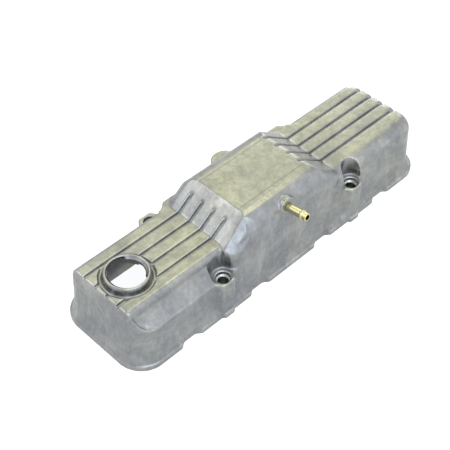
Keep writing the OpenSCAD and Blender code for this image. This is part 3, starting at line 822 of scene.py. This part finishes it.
def plain_metal(name, colour, roughness):
    """A metal with a little unevenness in its gloss and a fine grain."""
    smoother, rougher = 0.06, 0.08
    material, nodes, links, shader = metal(name, colour, roughness)
    where = nodes.new("ShaderNodeTexCoord").outputs["Object"]
    spots = noise(nodes, links, where, scale=600, detail=3, roughness=0.6)
    gloss = ramp(nodes, links, spots, (0.3, 0.7), (roughness - smoother, roughness + rougher))
    links.new(gloss, shader.inputs["Roughness"])
    bump(nodes, links, shader, spots, strength=0.3, distance=0.00005)
    return material


def give(obj, material):
    """Makes material the only one on obj."""
    obj.data.materials.clear()
    obj.data.materials.append(material)


# Pieces


class VALVECOVER_OT_casting(bpy.types.Operator):
    """Skin the cast cover: one piece with its flange, ears, grooves, neck and hollow inside"""

    bl_idname = "valvecover.casting"
    bl_label = "Casting"

    def execute(self, context):
        sizes, finish = context.scene.valvecover_casting, context.scene.valvecover_finish
        rough = whole_casting(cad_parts["cover_casting"], sizes)
        net = through(rough, "REMESH", mode="VOXEL", voxel_size=sizes.net_pitch, adaptivity=0)
        shape_net(net, sizes)
        kept = min(1.0, sizes.most_triangles / (2 * len(net.polygons)))
        mesh = through(net, "DECIMATE", ratio=kept)
        mesh.name = "cover"
        cover = bpy.data.objects.new("cover", mesh)
        context.scene.collection.objects.link(cover)
        put_values(mesh, "cut", machined(read_points(mesh)[0], sizes))
        bend = take_values(mesh, "bend")
        mesh.shade_smooth()
        mesh.normals_split_custom_set_from_vertices(bend / np.linalg.norm(bend, axis=1)[:, None])
        give(cover, cast_aluminium(finish))
        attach(cover, "root")
        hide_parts("cover_casting")
        return {"FINISHED"}


class VALVECOVER_OT_nipple(bpy.types.Operator):
    """Turn the brass breather nipple: a thin tube with one bead, pressed into its boss"""

    bl_idname = "valvecover.nipple"
    bl_label = "Breather nipple"

    def execute(self, context):
        s, finish = context.scene.valvecover_nipple, context.scene.valvecover_finish
        low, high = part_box("breather_nipple")
        root_y, root_z, tilt, sharp = -0.050, 0.078, math.radians(8), math.radians(50)
        crest, foot, chamfer, behind_tip = 0.6 * MM, 1.6 * MM, 0.6 * MM, 6 * MM
        tube, bore, bead = s.tube / 2, s.bore / 2, s.bead / 2
        at = s.length - behind_tip
        outline = [
            (bore, -s.grip, 0.1 * MM),
            (tube, -s.grip, 0.1 * MM),
            (tube, at - foot, 0.5 * MM),
            (bead, at - crest, 0.5 * MM),
            (bead, at + crest, 0.5 * MM),
            (tube, at + foot, 0.5 * MM),
            (tube, s.length - chamfer, 0.3 * MM),
            (tube - chamfer, s.length, 0.25 * MM),
            (bore, s.length, 0.2 * MM),
        ]
        corners, radii = [row[:2] for row in outline], [row[2] for row in outline]
        points, faces = lathe(eased_profile(corners, radii, steps=6), steps=96)
        turn = np.array(Matrix.Rotation(math.pi / 2 - tilt, 3, "X"))
        root = np.array([(low.x + high.x) / 2, root_y, root_z])
        nipple = put_mesh("nipple", points @ turn.T + root, faces)
        facing_out(nipple)
        nipple.data.shade_smooth()
        nipple.data.set_sharp_from_angle(angle=sharp)
        give(nipple, plain_metal("brass", finish.brass, roughness=0.19))
        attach(nipple, "root")
        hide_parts("breather_nipple")
        return {"FINISHED"}


class VALVECOVER_OT_baffle(bpy.types.Operator):
    """Give the folded steel baffle its finish"""

    bl_idname = "valvecover.baffle"
    bl_label = "Baffle"

    def execute(self, context):
        finish = context.scene.valvecover_finish
        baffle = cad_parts["baffle_plate"]
        give(baffle, plain_metal("sheet_steel", finish.sheet, roughness=0.38))
        return {"FINISHED"}


class VALVECOVER_OT_screws(bpy.types.Operator):
    """Give the four baffle screws their finish"""

    bl_idname = "valvecover.screws"
    bl_label = "Baffle screws"

    def execute(self, context):
        finish = context.scene.valvecover_finish
        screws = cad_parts["baffle_screws"]
        give(screws, plain_metal("zinc_plate", finish.zinc, roughness=0.28))
        return {"FINISHED"}


# Camera, lamps, room and floor

# The camera's place and the directions of its own right, up and back
CAMERA_AT = (-0.553274, -0.504780, 0.796197)
CAMERA_AXES = (
    (0.7092094, -0.70488877, 0.01240348),
    (0.5040011, 0.51923542, 0.69020104),
    (-0.49295529, -0.48324569, 0.72351136),
)
# What every lamp is turned to
LAMPS_TO = (0, 0, 0.05)
# Each lamp's name, side, brightness as a share of a setting, the setting, colour and place
LAMPS = (
    ("key_lamp", 1.1, 1.0, "key", (1.0, 0.98, 0.28), (0.64, 0.63, 0.99)),
    ("right_lamp", 1.4, 0.3, "fill", (0.94, 0.97, 1.0), (0.64, -0.96, 0.55)),
    ("left_lamp", 0.8, 0.7, "fill", (0.98, 1.0, 0.98), (-0.75, 0.63, 0.91)),
    ("front_lamp", 1.2, 1.35, "fill", (0.72, 0.85, 1.0), (-0.40, -0.92, 0.92)),
    ("side_edge_lamp", 0.5, 0.55, "edge", (1.0, 0.97, 0.5), (0.42, -0.12, 1.2)),
    ("back_lamp", 0.7, 1.2, "fill", (1.0, 1.0, 0.84), (1.1, 0.62, 0.33)),
    ("end_edge_lamp", 0.4, 0.4, "edge", (1.0, 0.96, 0.8), (-0.46, 0.59, 1.01)),
)
# How bright the camera sees the floor and the room, 1 being white
FLOOR_SEEN, ROOM_SEEN = 0.96, 1.1
# The floor's half side and how far it lies under the gasket face
FLOOR_HALF, FLOOR_DROP = 6.0, 0.05 * MM
# Half the length and half the width of the floor that the cover hides, and the share of the
# floor's glow in the metal that is left there, which paints shade on the floor under the cover
HIDDEN_HALF_X, HIDDEN_HALF_Y, UNDER_COVER_SHADE_SHARE = 0.19, 0.045, 0.3


def photo_camera(scene, lens):
    """Puts the camera at its place and turns it by its three axes."""
    sensor_mm, farthest = 36, 50
    camera = bpy.data.objects.new("camera", bpy.data.cameras.new("camera"))
    scene.collection.objects.link(camera)
    camera.data.sensor_width = sensor_mm
    camera.data.lens = lens
    camera.data.clip_end = farthest
    turn = Matrix(CAMERA_AXES).transposed().to_4x4()
    camera.matrix_world = Matrix.Translation(CAMERA_AT) @ turn
    scene.camera = camera


def lamp(name, size, brightness, colour, at):
    """A large soft square lamp at one point, turned to the cover. A face of side a that looks as
    bright as b gives out the power pi a^2 b."""
    data = bpy.data.lights.new(name, "AREA")
    data.shape = "SQUARE"
    data.size = size
    data.energy = math.pi * size**2 * brightness
    data.color = colour
    obj = bpy.data.objects.new(name, data)
    bpy.context.scene.collection.objects.link(obj)
    obj.location = at
    obj.rotation_mode = "QUATERNION"
    obj.rotation_quaternion = (Vector(LAMPS_TO) - Vector(at)).to_track_quat("-Z", "Y")


def seen_white(nodes, links, direct, mirrored):
    """One strength for rays from the camera, another off gloss or through glass, 0 for the rest."""
    ray = nodes.new("ShaderNodeLightPath").outputs
    seen = combine(nodes, links, "MULTIPLY", ray["Is Camera Ray"], direct)
    gloss = combine(nodes, links, "MAXIMUM", ray["Is Glossy Ray"], ray["Is Transmission Ray"])
    gloss = combine(nodes, links, "MULTIPLY", gloss, mirrored)
    return combine(nodes, links, "MAXIMUM", seen, gloss)


def painted_shade_under_cover(nodes, links):
    """1 on the floor that the cover hides, where its glow gets painted shade, and 0 outside it."""
    start_of_fade = 0.9
    split = nodes.new("ShaderNodeSeparateXYZ")
    links.new(nodes.new("ShaderNodeTexCoord").outputs["Object"], split.inputs["Vector"])
    inside = []
    for axis, half in (("X", HIDDEN_HALF_X), ("Y", HIDDEN_HALF_Y)):
        size = combine(nodes, links, "ABSOLUTE", split.outputs[axis], 0)
        inside.append(ramp(nodes, links, size, (start_of_fade * half, half), (1.0, 0.0)))
    return combine(nodes, links, "MULTIPLY", *inside)


def pale_paper(glow):
    """The floor's paper: nearly white to the camera, dimmer in the metal, and clear from below."""
    paper = bpy.data.materials.new("pale_floor")
    paper.use_nodes = True
    nodes, links = paper.node_tree.nodes, paper.node_tree.links
    shader = nodes["Principled BSDF"]
    fill_in(shader, {
        "Base Color": (0.42, 0.425, 0.43, 1), "Roughness": 0.9, "Specular IOR Level": 0,
        "Emission Color": (0.97, 0.98, 1.0, 1),
    })
    # Painted shade: the floor's glow in the metal drops to a share of itself under the cover
    gloss = ramp(nodes, links, painted_shade_under_cover(nodes, links), (0, 1), (glow, UNDER_COVER_SHADE_SHARE * glow))
    strength = seen_white(nodes, links, FLOOR_SEEN, gloss)
    links.new(strength, shader.inputs["Emission Strength"])
    sides = nodes.new("ShaderNodeMixShader")
    links.new(nodes.new("ShaderNodeNewGeometry").outputs["Backfacing"], sides.inputs["Fac"])
    links.new(shader.outputs["BSDF"], sides.inputs[1])
    links.new(nodes.new("ShaderNodeBsdfTransparent").outputs["BSDF"], sides.inputs[2])
    links.new(sides.outputs["Shader"], nodes["Material Output"].inputs["Surface"])
    return paper


def pale_room(scene, sky):
    """The even light all round, which the camera sees as white."""
    scene.world = bpy.data.worlds.new("room")
    scene.world.use_nodes = True
    nodes, links = scene.world.node_tree.nodes, scene.world.node_tree.links
    background = nodes["Background"]
    fill_in(background, {"Color": (0.95, 0.97, 1.0, 1)})
    strength = combine(nodes, links, "MAXIMUM", seen_white(nodes, links, ROOM_SEEN, sky), sky)
    links.new(strength, background.inputs["Strength"])


class VALVECOVER_OT_stage(bpy.types.Operator):
    """Set the camera, the lamps, the pale room and the floor"""

    bl_idname = "valvecover.stage"
    bl_label = "Stage"

    def execute(self, context):
        s, scene = context.scene.valvecover_stage, context.scene
        photo_camera(scene, s.lens)
        corners = np.array([(-1, -1, 0), (1, -1, 0), (1, 1, 0), (-1, 1, 0)]) * FLOOR_HALF
        floor = put_mesh("floor", corners - np.array([0, 0, FLOOR_DROP]), np.array([[0, 1, 2, 3]]))
        give(floor, pale_paper(s.glow))
        pale_room(scene, s.sky)
        for name, size, share, setting, colour, at in LAMPS:
            lamp(name, size, share * getattr(s, setting), colour, at)
        scene.view_settings.view_transform = "Standard"
        return {"FINISHED"}


class VALVECOVER_PT_panel(bpy.types.Panel):
    """Lists the pieces of the valve cover and their sizes"""

    bl_idname = "VALVECOVER_PT_panel"
    bl_label = "Valve cover"
    bl_space_type = "VIEW_3D"
    bl_region_type = "UI"
    bl_category = "Valve cover"

    def draw(self, context):
        for operators, settings in PANEL_ROWS:
            box = self.layout.box()
            for operator in operators:
                box.operator(operator)
            group = getattr(context.scene, settings)
            for name in group.__annotations__:
                box.prop(group, name)


PANEL_ROWS = (
    (("valvecover.casting",), "valvecover_casting"),
    (("valvecover.nipple",), "valvecover_nipple"),
    (("valvecover.baffle", "valvecover.screws"), "valvecover_finish"),
    (("valvecover.stage",), "valvecover_stage"),
)
SETTINGS = {
    "valvecover_casting": CastingSettings,
    "valvecover_finish": FinishSettings,
    "valvecover_nipple": NippleSettings,
    "valvecover_stage": StageSettings,
}
CLASSES = (
    *SETTINGS.values(),
    VALVECOVER_OT_casting,
    VALVECOVER_OT_nipple,
    VALVECOVER_OT_baffle,
    VALVECOVER_OT_screws,
    VALVECOVER_OT_stage,
    VALVECOVER_PT_panel,
)


def register():
    for cls in CLASSES:
        bpy.utils.register_class(cls)
    for name, group in SETTINGS.items():
        setattr(bpy.types.Scene, name, bpy.props.PointerProperty(type=group))


def unregister():
    for name in SETTINGS:
        delattr(bpy.types.Scene, name)
    for cls in reversed(CLASSES):
        bpy.utils.unregister_class(cls)


def main():
    register()
    bpy.ops.valvecover.casting()
    bpy.ops.valvecover.nipple()
    bpy.ops.valvecover.baffle()
    bpy.ops.valvecover.screws()
    bpy.ops.valvecover.stage()


if __name__ == "__main__":
    main()
